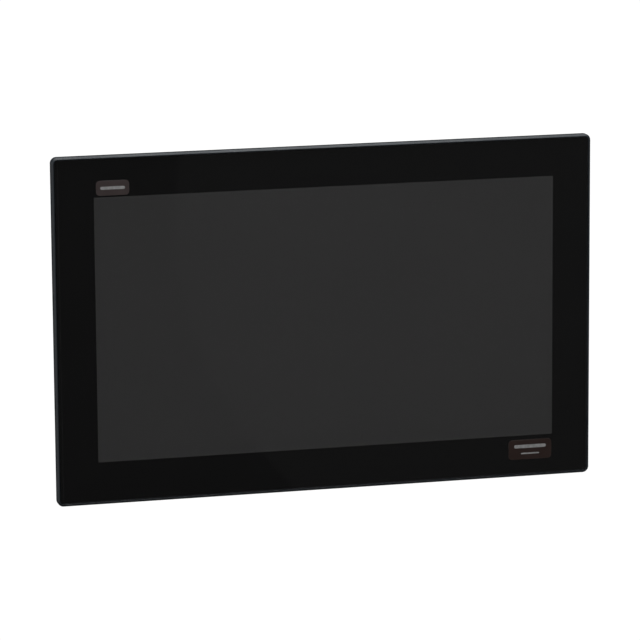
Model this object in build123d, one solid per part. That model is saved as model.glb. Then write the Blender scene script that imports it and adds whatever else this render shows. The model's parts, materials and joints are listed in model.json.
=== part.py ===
from build123d import *
import os

# Panel-mounted operator touch panel with a 15.6 inch wide display.
#
# Own frame, in millimetres: +X to the right and +Z up as the operator sees it, +Y into the cabinet.
# The origin is the centre of the plane where the frame's flange seats on the cabinet panel, so the
# glass faces -Y and everything behind the cabinet panel has a positive y.
#
# Each sub-part has its own function, which returns a shape in its assembled place. A sub-part that
# is a set of identical or matched pieces is a compound of separate solids. Threads are plain
# cylinders, with the screw's radius just under the hole's.

# ---------------------------------------------------------------------------- driving dimensions
# Front frame and glass
FRAME_W, FRAME_H, FRAME_R = 405.3, 256.5, 4.6
FRONT_DEPTH = 6.0  # how far the frame stands out in front of the cabinet panel
RIM_CHAMFER = 1.3
RIM_WIDTH = 1.85
GLASS_GAP = 0.15
GLASS_T = 3.0
FILM_T = 0.15
TAPE_T = 0.5
SENSOR_T = 0.55

# Visible window and display module. The module sits a little right of the frame's centre.
SCREEN_X, SCREEN_Z = 1.2, 0.35
WINDOW_W, WINDOW_H = 345.6, 195.0
LCD_W, LCD_H = 363.8, 215.9
LCD_FRONT, LCD_BACK = -1.6, 6.1
LCD_GAP = 0.5
LCD_SHEET_T = 0.5
CELL_W, CELL_H = 352.0, 202.0
CELL_FRONT, CELL_BACK = -1.05, 0.35
SHEETS_W, SHEETS_H = 353.0, 203.0
SHEET_DEPTHS = [(1.45, 1.70), (1.75, 1.95), (2.00, 2.20), (5.25, 5.45)]
GUIDE_H, GUIDE_RISE = 197.0, 3.0  # the light guide sits high, to leave room for the lamps under it
GUIDE_FRONT, GUIDE_BACK = 2.25, 5.20
LAMP_COUNT, LAMP_PITCH, LAMP_W = 42, 8.0, 4.0
MODULE_FRAME_W, MODULE_FRAME_H = LCD_W - 1.2, LCD_H - 1.2
MODULE_FRAME_BACK = 5.5

# Body behind the cabinet panel: a shallow tray with a raised electronics box
BODY_W, BODY_H, BODY_R = 382.0, 233.0, 6.0
BODY_WALL = 2.5
SKIN = 2.2
SPIGOT = 0.5  # depth of the recess in the frame that locates the cover
TRAY_BACK = 22.0
BOX_W, BOX_H, BOX_R, BOX_Z = 310.0, 150.0, 8.0, 15.0
BOX_BACK = 42.0

# Vent slots in the box's top wall and across its back
VENT_COUNT, VENT_PITCH, VENT_W = 27, 9.0, 2.6
VENT_TOP_L, VENT_BACK_L = 12.0, 14.0
VENT_ROW_DROP = 13.0  # from the box's top edge to the middle of the row on its back

# Gasket in the flange
GROOVE_OUT, GROOVE_IN = 7.0, 2.0  # the groove's outer and inner edges, out from the body wall
GROOVE_DEPTH = 1.2
GASKET_BEAD_Y = -0.5

# Chassis plate and main board
PLATE_FRONT, PLATE_T = 9.0, 1.5
PLATE_BACK = PLATE_FRONT + PLATE_T
BOARD_FRONT, BOARD_T = 22.0, 1.6
BOARD_BACK = BOARD_FRONT + BOARD_T
BOARD_X = (-70.0, 149.5)
BOARD_Z = (-57.0, 63.0)

# M3 screws
M3_R, M3_HOLE_R, M3_CLEAR_R = 1.5, 1.52, 1.7
M3_HEAD_R, M3_HEAD_H = 2.75, 2.0
COVER_SCREW_X = (-165.0, -55.0, 55.0, 165.0)
COVER_SCREW_INSET = 2.4  # from the tray's inner wall to a screw's axis
SEAT_DEPTH = 14.0  # where the cover screws' heads seat, at the bottom of their wells
BOSS_R = 2.35  # the frame's tapped bosses, which the chassis plate rests on
BOARD_SCREWS = [(-66, -50), (140, -50), (-66, 57), (37, 57), (140, 57), (84, -30)]
LCD_SCREWS = [(-150, -60), (150, -60), (-150, 70), (150, 70)]
MODULE_BOSS_R = 4.0

# Main board: the processor is the part under the heat sink
PROCESSOR_X, PROCESSOR_Z = 66.0, 12.0
PROCESSOR_T = 1.2
PAD_T = 0.8
SINK_SIDE, SINK_BASE_T, SINK_HEIGHT = 46.0, 2.5, 12.0
FIN_COUNT, FIN_PITCH, FIN_T = 11, 4.4, 1.2
CELL_X, CELL_Z, CELL_R, CELL_T = 0.0, 35.0, 10.0, 3.2  # the backup battery

# Leads
TAIL_X, TAIL_W, TAIL_T = 28.0, 24.0, 0.12
CABLE_X, CABLE_W, CABLE_T = 20.0, 30.0, 0.3
TOUCH_BOARD_FRONT, TOUCH_BOARD_T = 12.6, 1.2

# Fixing clips: a hooked block with a set screw that ends in a swivelling foot
CLIP_X = (-110.0, 0.0, 110.0)
CLIP_W = 18.0
CLIP_AXIS = 3.8  # set screw's axis, out from the body wall
CLIP_OUT = 6.9
CLIP_FRONT, CLIP_BACK = 11.0, 20.0
HOOK_W, HOOK_T = 15.0, 2.2
HOOK_CATCH = 1.8  # how far the hook reaches behind the wall, past its slot
SET_SCREW_R, SET_SCREW_BACK = 2.0, 24.5
SCREW_NOSE_R = 1.2
HEX_KEY, HEX_DEPTH = 2.0, 2.5
FOOT_R, FOOT_FRONT, FOOT_BACK = 3.2, 3.0, 5.6
FOOT_FLOOR = 0.8
SLOT_Y = (13.0, 17.2)

# Bracket holes on the back, on the usual 100 mm square with M4 threads
BRACKET_PITCH = 100.0
BRACKET_HOLE_R = 1.65
BRACKET_DEPTH = 7.7

# Sockets along the electronics box's lower wall
LOWER_WALL = BOX_Z - BOX_H / 2
LOWER_WALL_IN = LOWER_WALL + SKIN
POWER_X = -50.0
JACK_X = (-18.0, 2.0)
USB_X = (27.0, 44.0)
DEVICE_USB_X = 60.0
SOCKET_GAP = 0.4  # between a socket and the edge of its opening in the cover
JACK_W, JACK_BACK, JACK_LENGTH = 16.0, 37.2, 21.0
JACK_MOUTH = LOWER_WALL - 0.4
USB_W, USB_FRONT, USB_BACK, USB_LENGTH = 13.2, BOARD_BACK + 0.1, 30.7, 17.5
USB_SHEET_T = 0.35
DEVICE_USB_W, DEVICE_USB_BACK, DEVICE_USB_LENGTH = 7.7, 27.5, 8.5
SERIAL_X, SERIAL_Y = 100.0, 30.4
SERIAL_SCREW_SPACING = 24.99
SERIAL_SHELL_W, SERIAL_SHELL_H = 16.9, 8.4
SERIAL_PIN_PITCH, SERIAL_ROW_PITCH = 2.77, 2.84
JACK_SCREW_END = LOWER_WALL - 5.0
JACK_SCREW_BORE_R = 1.25
PIN_Y = 29.7  # row of the power pins
TERMINAL_PITCH = 5.08
TERMINAL_Z = -67.5
TERMINAL_HEAD_R, TERMINAL_SHANK_R = 1.95, 1.3
TERMINAL_GAP = 0.1
EARTH_X, EARTH_Z = -84.0, -80.0
EARTH_WASHER_T = 0.8

# Cable tie lugs along the foot of the tray, and the blank rating label in its shallow recess
LUG_X = (-50.0, 20.0, 90.0)
LUG_W, LUG_DEPTH, LUG_Z = 14.0, 4.0, (-98.0, -94.0)
LABEL_X, LABEL_Z, LABEL_W, LABEL_H = -104.0, 22.0, 64.0, 40.0
LABEL_RECESS, LABEL_T = 0.3, 0.15

# Access door in the electronics box's right wall
RIGHT_WALL = BOX_W / 2
DOOR_Z = (-10.0, 50.0)
DOOR_OPEN_Y = (23.8, 39.4)
DOOR_AXIS_X, DOOR_AXIS_Y = 153.0, 37.2
DOOR_T = 2.0
DOOR_GAP = 0.3
PIN_R, PIN_HOLE_R, PIN_L = 1.0, 1.06, 2.0
STOP_FRONT, STOP_BACK = 25.5, 33.0  # the two stops behind the door's ends
CARD_Z, CARD_H, CARD_T = 33.0, 24.0, 2.1
CARD_FRONT = 24.2
DIP_Z, DIP_PITCH = 10.0, 2.54
RESET_Y, RESET_Z, RESET_R = 25.9, 0.0, 0.98

# Badges on the glass: centre x, centre z, width, height
BADGES = [(-158.2, 104.8, 24.4, 10.9), (156.3, -107.6, 33.4, 15.0)]
BADGE_T, BADGE_R = 0.15, 2.9

EPS = 1.0  # how far a cutting tool runs past the face it cuts

FRONT = -FRONT_DEPTH
GLASS_BACK = FRONT + GLASS_T
FILM_BACK = GLASS_BACK + FILM_T
LEDGE = FILM_BACK + TAPE_T
SENSOR_BACK = FILM_BACK + SENSOR_T
POCKET_W, POCKET_H = FRAME_W - 2 * RIM_WIDTH, FRAME_H - 2 * RIM_WIDTH
GLASS_W, GLASS_H = POCKET_W - 2 * GLASS_GAP, POCKET_H - 2 * GLASS_GAP
GLASS_R = FRAME_R - RIM_WIDTH - GLASS_GAP
TRAY_FLOOR = TRAY_BACK - SKIN
BOX_FLOOR = BOX_BACK - SKIN
COVER_SCREWS = [
    (x, side * (BODY_H / 2 - BODY_WALL - COVER_SCREW_INSET)) for side in (-1, 1) for x in COVER_SCREW_X
] + [(side * (BODY_W / 2 - BODY_WALL - COVER_SCREW_INSET), 0.0) for side in (-1, 1)]
CLIPS = [(x, side) for side in (1, -1) for x in CLIP_X]
TERMINAL_X = [POWER_X + k * TERMINAL_PITCH for k in (-1, 0, 1)]
DIP_SLIDER_Z = [DIP_Z - DIP_PITCH / 2, DIP_Z + DIP_PITCH / 2]
SERIAL_SCREW_X = [SERIAL_X + side * SERIAL_SCREW_SPACING / 2 for side in (-1, 1)]
BRACKET_HOLES = [
    (sx * BRACKET_PITCH / 2, BOX_Z + sz * BRACKET_PITCH / 2) for sx in (-1, 1) for sz in (-1, 1)
]


# ------------------------------------------------------------------------------------- helpers
def slab(outline, front, back):
    """A prism along Y, from depth front to depth back, of an outline drawn in X and Z."""
    return extrude(Plane.XZ.offset(-back) * outline, amount=back - front)


def prism_x(outline, low, high):
    """A prism along X of an outline drawn in Y and Z."""
    return extrude(Plane.YZ.offset(low) * outline, amount=high - low)


def prism_z(outline, low, high):
    """A prism along Z of an outline drawn in X and Y."""
    return extrude(Plane.XY.offset(low) * outline, amount=high - low)


def block(x, y, z):
    """A box given as (low, high) pairs."""
    size = [high - low for low, high in (x, y, z)]
    middle = [(low + high) / 2 for low, high in (x, y, z)]
    return Pos(*middle) * Box(*size)


def span(middle, width):
    """The (low, high) pair of a width centred on middle."""
    return (middle - width / 2, middle + width / 2)


def rod(x, z, radius, front, back):
    """A cylinder along Y."""
    return slab(Pos(x, z) * Circle(radius), front, back)


def ring(outer_w, outer_h, outer_r, inner_w, inner_h, inner_r):
    return RectangleRounded(outer_w, outer_h, outer_r) - RectangleRounded(inner_w, inner_h, inner_r)


def on_screen(outline):
    """Moves an outline from the frame's centre to the display's centre."""
    return Pos(SCREEN_X, SCREEN_Z) * outline


def group(pieces):
    """One compound of separate solids."""
    return Compound(children=[solid for piece in pieces for solid in piece.solids()])


def rear_edges(shape):
    return shape.faces().sort_by(Axis.Y)[-1].edges()


def front_edges(shape):
    return shape.faces().sort_by(Axis.Y)[0].edges()


def pan_screw(x, z, seat, length, radius=M3_R, head_r=M3_HEAD_R, head_h=M3_HEAD_H):
    """A cross-recess pan head screw along Y, driven from behind. Its head seats at depth seat."""
    head = fillet(rear_edges(rod(x, z, head_r, seat, seat + head_h)), head_h * 0.45)
    arm, width = head_r * 1.15, head_r * 0.24
    recess = (seat + head_h * 0.35, seat + head_h + EPS)
    cross = block(span(x, arm), recess, span(z, width)) + block(span(x, width), recess, span(z, arm))
    return head + rod(x, z, radius, seat - length, seat) - cross


def ribbon(points, thickness, x, width):
    """A flat cable along a path of (y, z) points, centred on x."""
    path = Polyline([(y, z) for y, z in points])
    outline = make_face(offset(path, amount=thickness / 2, kind=Kind.INTERSECTION).edges())
    return prism_x(outline, x - width / 2, x + width / 2)


# -------------------------------------------------------------------------------- front module
def front_bezel():
    """Cast frame: a chamfered rim, a ledge behind the glass, a gasket groove and tapped bosses."""
    frame = slab(RectangleRounded(FRAME_W, FRAME_H, FRAME_R), FRONT, 0)
    frame = chamfer(front_edges(frame), RIM_CHAMFER)
    frame = chamfer(rear_edges(frame), 0.4)
    pocket = RectangleRounded(POCKET_W, POCKET_H, FRAME_R - RIM_WIDTH)
    opening = on_screen(RectangleRounded(LCD_W + 2 * LCD_GAP, LCD_H + 2 * LCD_GAP, 1.5))
    recess = RectangleRounded(BODY_W + 0.4, BODY_H + 0.4, BODY_R + 0.2)
    frame -= slab(pocket, FRONT - EPS, LEDGE)
    frame -= slab(opening, FRONT, EPS)
    frame -= slab(recess, -SPIGOT, EPS)
    frame -= slab(groove_outline(0), -GROOVE_DEPTH, EPS)
    for x, z in COVER_SCREWS:
        frame += rod(x, z, BOSS_R, -SPIGOT - 0.1, PLATE_FRONT)
        frame -= rod(x, z, M3_HOLE_R, 0.8, PLATE_FRONT + EPS)
    return frame


def groove_outline(clearance):
    """The gasket groove's plan, narrower by clearance on each side."""
    out, into = GROOVE_OUT - clearance, GROOVE_IN + clearance
    return ring(
        BODY_W + 2 * out, BODY_H + 2 * out, BODY_R + out, BODY_W + 2 * into, BODY_H + 2 * into, BODY_R + into
    )


def panel_gasket():
    """Foam rubber ring in its clamped state: a narrower bead on a base, flush with the flange."""
    base = slab(groove_outline(0.1), -GROOVE_DEPTH, GASKET_BEAD_Y)
    bead = slab(groove_outline(1.2), GASKET_BEAD_Y, 0)
    return base + bead


def cover_glass():
    glass = slab(RectangleRounded(GLASS_W, GLASS_H, GLASS_R), FRONT, GLASS_BACK)
    return chamfer(front_edges(glass), 0.25)


def border_film():
    """Black printed film behind the glass, with the viewing window cut in it."""
    film = RectangleRounded(GLASS_W - 0.2, GLASS_H - 0.2, GLASS_R - 0.1)
    return slab(film - on_screen(Rectangle(WINDOW_W, WINDOW_H)), GLASS_BACK, FILM_BACK)


def touch_sensor():
    return slab(on_screen(RectangleRounded(WINDOW_W + 12, WINDOW_H + 12, 1)), FILM_BACK, SENSOR_BACK)


def glass_tape():
    outer = RectangleRounded(GLASS_W - 2, GLASS_H - 2, GLASS_R - 1)
    inner = on_screen(RectangleRounded(LCD_W + 2, LCD_H + 2, 2))
    return slab(outer - inner, FILM_BACK, LEDGE)


def badge_plates():
    """Two thin foil badges on the glass, at the upper left and the lower right of the window."""
    plates = [
        slab(Pos(x, z) * RectangleRounded(w, h, BADGE_R), FRONT - BADGE_T, FRONT) for x, z, w, h in BADGES
    ]
    return group(plates)


# ------------------------------------------------------------------------------ display module
def lcd_front_frame():
    """Pressed steel frame that wraps the display module's face and sides."""
    shell = slab(on_screen(RectangleRounded(LCD_W, LCD_H, 1)), LCD_FRONT, LCD_BACK)
    hollow = Rectangle(LCD_W - 2 * LCD_SHEET_T, LCD_H - 2 * LCD_SHEET_T)
    window = Rectangle(WINDOW_W + 2.2, WINDOW_H + 2.2)
    shell -= slab(on_screen(hollow), LCD_FRONT + LCD_SHEET_T, LCD_BACK + EPS)
    return shell - slab(on_screen(window), LCD_FRONT - EPS, LCD_FRONT + EPS)


def lcd_cell():
    return slab(on_screen(Rectangle(CELL_W, CELL_H)), CELL_FRONT, CELL_BACK)


def lcd_mid_frame():
    """Moulded frame that holds the cell in front and the optical sheets and light guide behind."""
    ledge = (CELL_BACK + 0.05, SHEET_DEPTHS[0][0] - 0.05)
    frame = slab(on_screen(Rectangle(MODULE_FRAME_W, MODULE_FRAME_H)), CELL_FRONT, MODULE_FRAME_BACK)
    frame -= slab(on_screen(Rectangle(CELL_W + 0.4, CELL_H + 0.4)), CELL_FRONT - EPS, ledge[0])
    frame -= slab(on_screen(Rectangle(WINDOW_W + 1.4, WINDOW_H + 1.6)), ledge[0] - EPS, ledge[1] + EPS)
    rear_pocket = Rectangle(SHEETS_W + 2, SHEETS_H + 3)
    return frame - slab(on_screen(rear_pocket), ledge[1], MODULE_FRAME_BACK + EPS)


def optical_sheets():
    """Diffuser and two prism sheets in front of the light guide, reflector behind it."""
    sheet = on_screen(Rectangle(SHEETS_W, SHEETS_H))
    return group(slab(sheet, front, back) for front, back in SHEET_DEPTHS)


def light_guide():
    outline = Pos(SCREEN_X, SCREEN_Z + GUIDE_RISE) * Rectangle(SHEETS_W, GUIDE_H)
    return slab(outline, GUIDE_FRONT, GUIDE_BACK)


def led_strip():
    """Circuit strip under the light guide's lower edge, with a row of lamps that shine up into it."""
    guide_edge = SCREEN_Z + GUIDE_RISE - GUIDE_H / 2
    strip_top = guide_edge - 1.4
    first = SCREEN_X - (LAMP_COUNT - 1) / 2 * LAMP_PITCH
    strip = block(span(SCREEN_X, LAMP_COUNT * LAMP_PITCH + 8), (2.4, 5.1), (strip_top - 0.9, strip_top))
    lamps = [
        block(span(first + k * LAMP_PITCH, LAMP_W), (2.6, 4.9), (strip_top, guide_edge - 0.1))
        for k in range(LAMP_COUNT)
    ]
    return group([strip, *lamps])


def backlight_tray():
    """Sheet back of the display module, with four threaded bosses for the chassis plate."""
    tray = slab(on_screen(Rectangle(MODULE_FRAME_W, MODULE_FRAME_H)), MODULE_FRAME_BACK, LCD_BACK)
    for x, z in LCD_SCREWS:
        tray += rod(x, z, MODULE_BOSS_R, LCD_BACK, PLATE_FRONT)
        tray -= rod(x, z, M3_HOLE_R, LCD_BACK, PLATE_FRONT + EPS)
    return tray


def lcd_driver_board():
    """Narrow board on the module's back: driver chips along its edge, a cable socket and a timing chip."""
    face = LCD_BACK + 1.0
    board = block(span(0, 280), (LCD_BACK, face), (-100, -76))
    for x in (-110, -55, 0, 55, 110):
        board += block(span(x, 22), (face, face + 1.2), (-96, -91))
    board += block(span(CABLE_X, CABLE_W + 4), (face, face + 1.4), (-84, -79))
    return board + block(span(-40, 14), (face, face + 1.0), (-90, -80))


def touch_tail():
    """Flex lead from the touch sensor, round the display module's lower edge to the touch board."""
    start_y = SENSOR_BACK + 0.1
    end_y = TOUCH_BOARD_FRONT + TOUCH_BOARD_T + 0.6
    gap_z = SCREEN_Z - LCD_H / 2 - LCD_GAP / 2
    path = [(start_y, -98), (start_y, gap_z), (end_y, gap_z), (end_y, -103)]
    return ribbon(path, TAIL_T, TAIL_X, TAIL_W)


def touch_board():
    """Touch controller on four feet, notched where the touch tail comes round its lower edge."""
    face = TOUCH_BOARD_FRONT + TOUCH_BOARD_T
    board = block(span(TAIL_X, 60), (TOUCH_BOARD_FRONT, face), (-106, -82))
    board -= block(span(TAIL_X, TAIL_W + 2), (TOUCH_BOARD_FRONT - EPS, face + EPS), (-109, -105))
    board += block(span(TAIL_X, 12), (face, face + 1.0), (-98, -90))
    for x in (TAIL_X - 26, TAIL_X + 26):
        for z in (-101, -86):
            board += rod(x, z, 2.2, PLATE_BACK, TOUCH_BOARD_FRONT)
    return board


# ------------------------------------------------------------------------------------- chassis
def chassis_plate():
    """Sheet steel plate that closes the display bay and carries the electronics."""
    margin = 2 * BODY_WALL + 1
    outline = RectangleRounded(BODY_W - margin, BODY_H - margin, 4)
    plate = slab(outline, PLATE_FRONT, PLATE_BACK)
    cuts = (PLATE_FRONT - EPS, PLATE_BACK + EPS)
    for x, z in COVER_SCREWS + LCD_SCREWS:
        plate -= rod(x, z, M3_CLEAR_R, *cuts)
    plate -= slab(Pos(TAIL_X, -108) * RectangleRounded(TAIL_W + 4, 3, 1), *cuts)
    plate -= slab(Pos(CABLE_X, -66) * RectangleRounded(CABLE_W + 10, 12, 2), *cuts)
    for x in (-110, 110):
        plate -= slab(Pos(x, 0) * RectangleRounded(90, 60, 8), *cuts)
    return plate


def board_standoffs():
    """Hexagon spacers, 5.5 mm across the flats, that carry the main board."""
    hexagon = RegularPolygon(5.5 / 2, 6, major_radius=False)
    return group(
        slab(Pos(x, z) * hexagon, PLATE_BACK, BOARD_FRONT)
        - rod(x, z, M3_HOLE_R, 14, BOARD_FRONT + EPS)
        for x, z in BOARD_SCREWS
    )


def chassis_screws():
    """M3 screws for the display module and the main board."""
    screws = [pan_screw(x, z, PLATE_BACK, 4.0) for x, z in LCD_SCREWS]
    screws += [pan_screw(x, z, BOARD_BACK, 8.0) for x, z in BOARD_SCREWS]
    return group(screws)


def main_board():
    board = slab(
        Pos(sum(BOARD_X) / 2, sum(BOARD_Z) / 2)
        * RectangleRounded(BOARD_X[1] - BOARD_X[0], BOARD_Z[1] - BOARD_Z[0], 2),
        BOARD_FRONT,
        BOARD_BACK,
    )
    for x, z in BOARD_SCREWS:
        board -= rod(x, z, M3_CLEAR_R, BOARD_FRONT - EPS, BOARD_BACK + EPS)
    return board


def on_board(x, z, width, height, thickness):
    """A block on the main board's rear face."""
    return block(span(x, width), (BOARD_BACK, BOARD_BACK + thickness), span(z, height))


def board_chips():
    """Processor, two memories, storage and the interface chips near their sockets."""
    chips = [
        on_board(PROCESSOR_X, PROCESSOR_Z, 21, 21, PROCESSOR_T),
        on_board(PROCESSOR_X - 36, PROCESSOR_Z + 8, 10, 14, 1.0),
        on_board(PROCESSOR_X - 36, PROCESSOR_Z - 10, 10, 14, 1.0),
        on_board(PROCESSOR_X + 36, 30, 11.5, 13, 1.0),
        on_board(SERIAL_X + 4, -22, 10, 10, 1.0),
        on_board(POWER_X - 2, 15, 8, 8, 0.9),
        on_board(-30, 50, 12, 12, 1.2),
    ]
    chips += [on_board(x, -25, 7, 7, 0.9) for x in JACK_X]
    return group(chips)


def board_components():
    """Chokes, electrolytic cans, crystals, a sounder and the socket for the display's cable."""
    chokes = [on_board(x, z, 8, 8, 4.5) for x, z in ((-55, -20), (-55, -6), (-38, 28))]
    cans = [
        rod(x, z, 4.0, BOARD_BACK, BOARD_BACK + 8) for x, z in ((-38, -28), (-38, -16), (-56, 34), (-46, 44))
    ]
    crystals = [on_board(x, z, 3.2, 2.5, 1.0) for x, z in ((12, -25), (46, 34))]
    sounder = rod(118, 2, 6.0, BOARD_BACK, BOARD_BACK + 6)
    socket = block(span(CABLE_X, CABLE_W + 2), (BOARD_FRONT - 1.6, BOARD_FRONT), (-44, -38))
    return group([*chokes, *cans, *crystals, sounder, socket])


def thermal_pad():
    front = BOARD_BACK + PROCESSOR_T
    return block(span(PROCESSOR_X, 22), (front, front + PAD_T), span(PROCESSOR_Z, 22))


def heat_sink():
    """Finned extrusion on the thermal pad."""
    front = BOARD_BACK + PROCESSOR_T + PAD_T
    fins = (front + SINK_BASE_T, front + SINK_HEIGHT)
    height = span(PROCESSOR_Z, SINK_SIDE)
    sink = block(span(PROCESSOR_X, SINK_SIDE), (front, front + SINK_BASE_T), height)
    first = PROCESSOR_X - (FIN_COUNT - 1) / 2 * FIN_PITCH
    for k in range(FIN_COUNT):
        sink += block(span(first + k * FIN_PITCH, FIN_T), fins, height)
    return sink


def battery_holder():
    """Round cup with a finger notch in its upper wall."""
    floor, rim = BOARD_BACK + 1, BOARD_BACK + 5
    cup = rod(CELL_X, CELL_Z, CELL_R + 2, BOARD_BACK, rim)
    cup -= rod(CELL_X, CELL_Z, CELL_R + 0.2, floor, rim + EPS)
    return cup - block(span(CELL_X, 9), (floor, rim + EPS), (CELL_Z, CELL_Z + CELL_R + 5))


def coin_cell():
    floor = BOARD_BACK + 1
    return fillet(rear_edges(rod(CELL_X, CELL_Z, CELL_R, floor, floor + CELL_T)), 0.6)


def lcd_cable():
    """Ribbon from the display's driver board, through the chassis plate, to the main board."""
    over_socket = LCD_BACK + 2.6
    board_end = BOARD_FRONT - 1.8
    path = [(over_socket, -82), (over_socket, -72.6), (7.6, -66), (16, -66), (16, -41), (board_end, -41)]
    return ribbon(path, CABLE_T, CABLE_X, CABLE_W)


# ------------------------------------------------------------------------------------- sockets
def power_header():
    """Shrouded three-pin power header, open downwards."""
    shroud = block(span(POWER_X, 20.8), (BOARD_BACK, 35.8), (LOWER_WALL, LOWER_WALL + 12.5))
    shroud -= block(span(POWER_X, 17.8), (25.2, 34.2), (LOWER_WALL - EPS, LOWER_WALL + 9.5))
    for x in TERMINAL_X:
        shroud += block(span(x, 1.0), span(PIN_Y, 1.0), (LOWER_WALL + 2, LOWER_WALL + 10))
    return shroud


def power_plug():
    """Pluggable screw terminal block: its nose goes in the header, and wires enter from below."""
    shoulder = LOWER_WALL - 0.3
    bottom = shoulder - 14.0
    housing = block(span(POWER_X, 20.4), (24.2, 38.6), (bottom, shoulder))
    housing = chamfer(housing.edges().filter_by(Axis.X).sort_by(Axis.Y)[-2:], 1.2)
    plug = housing + block(span(POWER_X, 17.4), (25.4, 34.0), (shoulder, LOWER_WALL + 9))
    for x in TERMINAL_X:
        plug -= block(span(x, 1.4), span(PIN_Y, 1.4), (LOWER_WALL + 1.5, LOWER_WALL + 10))
        plug -= rod(x, TERMINAL_Z, TERMINAL_HEAD_R + 0.15, 31.0, 40)
        plug -= rod(x, TERMINAL_Z, TERMINAL_SHANK_R + TERMINAL_GAP, 29.0, 32)
        plug -= block(span(x, 3.8), (25.6, 29.6), (bottom - EPS, -63))
    return plug


def terminal_screw(x):
    """Slotted screw of one terminal, facing the rear."""
    screw = rod(x, TERMINAL_Z, TERMINAL_HEAD_R, 34.6, 37.4)
    screw += rod(x, TERMINAL_Z, TERMINAL_SHANK_R, 29.9, 34.6)
    return screw - block(span(x, 5), (36.5, 38), span(TERMINAL_Z, 0.6))


def ethernet_jacks():
    """Two shielded eight-way network jacks with their latch notch away from the board."""
    before = JACK_MOUTH - EPS
    jacks = []
    for x in JACK_X:
        jack = block(span(x, JACK_W), (BOARD_BACK, JACK_BACK), (JACK_MOUTH, JACK_MOUTH + JACK_LENGTH))
        jack -= block(span(x, 11.9), (25.2, 31.9), (before, JACK_MOUTH + 13))
        jack -= block(span(x, 6.2), (31.0, 33.4), (before, JACK_MOUTH + 11))
        jack -= block(span(x, 3.4), (33.0, 34.8), (before, JACK_MOUTH + 9))
        for lamp_x in (x - 5.6, x + 5.6):
            jack -= block(span(lamp_x, 3.2), (34.0, 35.9), (before, JACK_MOUTH + 0.8))
        jacks.append(jack)
    return group(jacks)


def usb_port(x, width, depths, mouth, length, tongue):
    """A folded sheet shell, open at its mouth, with a contact tongue inside."""
    inner_w = width - 2 * USB_SHEET_T
    inner_depths = (depths[0] + USB_SHEET_T, depths[1] - USB_SHEET_T)
    shell = block(span(x, width), depths, (mouth, mouth + length))
    shell -= block(span(x, inner_w), inner_depths, (mouth - EPS, mouth + length - 3))
    return shell + block(span(x, inner_w - 1.6), tongue, (mouth + 0.8, mouth + length - 2.5))


def usb_ports():
    """Two host ports and one small device port."""
    ports = [
        usb_port(x, USB_W, (USB_FRONT, USB_BACK), LOWER_WALL - 0.5, USB_LENGTH, (28.0, 29.9)) for x in USB_X
    ]
    depths = (BOARD_BACK, DEVICE_USB_BACK)
    ports.append(
        usb_port(DEVICE_USB_X, DEVICE_USB_W, depths, LOWER_WALL - 0.2, DEVICE_USB_LENGTH, (25.3, 26.0))
    )
    return group(ports)


def d_outline(width, height, slope):
    """The D-shaped outline of a serial socket, wide side towards the rear, drawn in X and Y."""
    half, top = width / 2, height / 2
    corners = [(-half + slope, -top), (half - slope, -top), (half, top), (-half, top)]
    return fillet(Polygon(*corners, align=None).vertices(), 1.6)


def jack_screw(x):
    """Hexagon spacer that holds the serial port's flange and takes a plug's thumb screw."""
    at = Pos(x, SERIAL_Y)
    seat = LOWER_WALL - 0.05
    hexagon = prism_z(at * RegularPolygon(2.4, 6, major_radius=False), JACK_SCREW_END, seat)
    stud = prism_z(at * Circle(1.4), seat, LOWER_WALL_IN + 3.1)
    return hexagon + stud - prism_z(at * Circle(JACK_SCREW_BORE_R), JACK_SCREW_END - EPS, LOWER_WALL - 0.6)


def serial_port():
    """Nine-pin D connector with its two jack screws."""
    centre = Pos(SERIAL_X, SERIAL_Y)
    flange_low = LOWER_WALL_IN + 0.1
    sheet = 0.4
    shell_outline = d_outline(SERIAL_SHELL_W, SERIAL_SHELL_H, 1.2)
    hollow_outline = d_outline(SERIAL_SHELL_W - 2 * sheet, SERIAL_SHELL_H - 2 * sheet, 1.2)
    connector = prism_z(centre * RectangleRounded(30.8, 12.5, 1), flange_low, flange_low + 1)
    for x in SERIAL_SCREW_X:
        connector -= prism_z(Pos(x, SERIAL_Y) * Circle(1.5), flange_low - EPS, flange_low + 1 + EPS)
    connector += prism_z(centre * shell_outline, LOWER_WALL - 3.6, flange_low)
    connector -= prism_z(centre * hollow_outline, LOWER_WALL - 3.6 - EPS, flange_low - 0.6)
    connector += block(span(SERIAL_X, 19), (BOARD_BACK, SERIAL_Y + 5), (flange_low + 1, flange_low + 11))
    for y, count in ((SERIAL_Y + SERIAL_ROW_PITCH / 2, 5), (SERIAL_Y - SERIAL_ROW_PITCH / 2, 4)):
        first = SERIAL_X - (count - 1) / 2 * SERIAL_PIN_PITCH
        for k in range(count):
            pin = Pos(first + k * SERIAL_PIN_PITCH, y) * Circle(0.5)
            connector += prism_z(pin, LOWER_WALL - 2.6, flange_low)
    return group([connector, *[jack_screw(x) for x in SERIAL_SCREW_X]])


def memory_socket():
    """Metal-shelled socket for the memory card, open to the right."""
    shell = block((120, 147.5), (BOARD_BACK, 27.0), span(CARD_Z, CARD_H + 4))
    slot_y = (CARD_FRONT - 0.1, CARD_FRONT + CARD_T + 0.1)
    return shell - block((116, 149), slot_y, span(CARD_Z, CARD_H + 0.5))


def memory_card():
    """Full-size card, pushed home, with its clipped corner at the inner end."""
    inner, outer = 116.6, 148.6
    low, high = span(CARD_Z, CARD_H)
    corners = [(inner, low), (outer, low), (outer, high), (inner + 4, high), (inner, high - 4)]
    return slab(Polygon(*corners, align=None), CARD_FRONT, CARD_FRONT + CARD_T)


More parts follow.
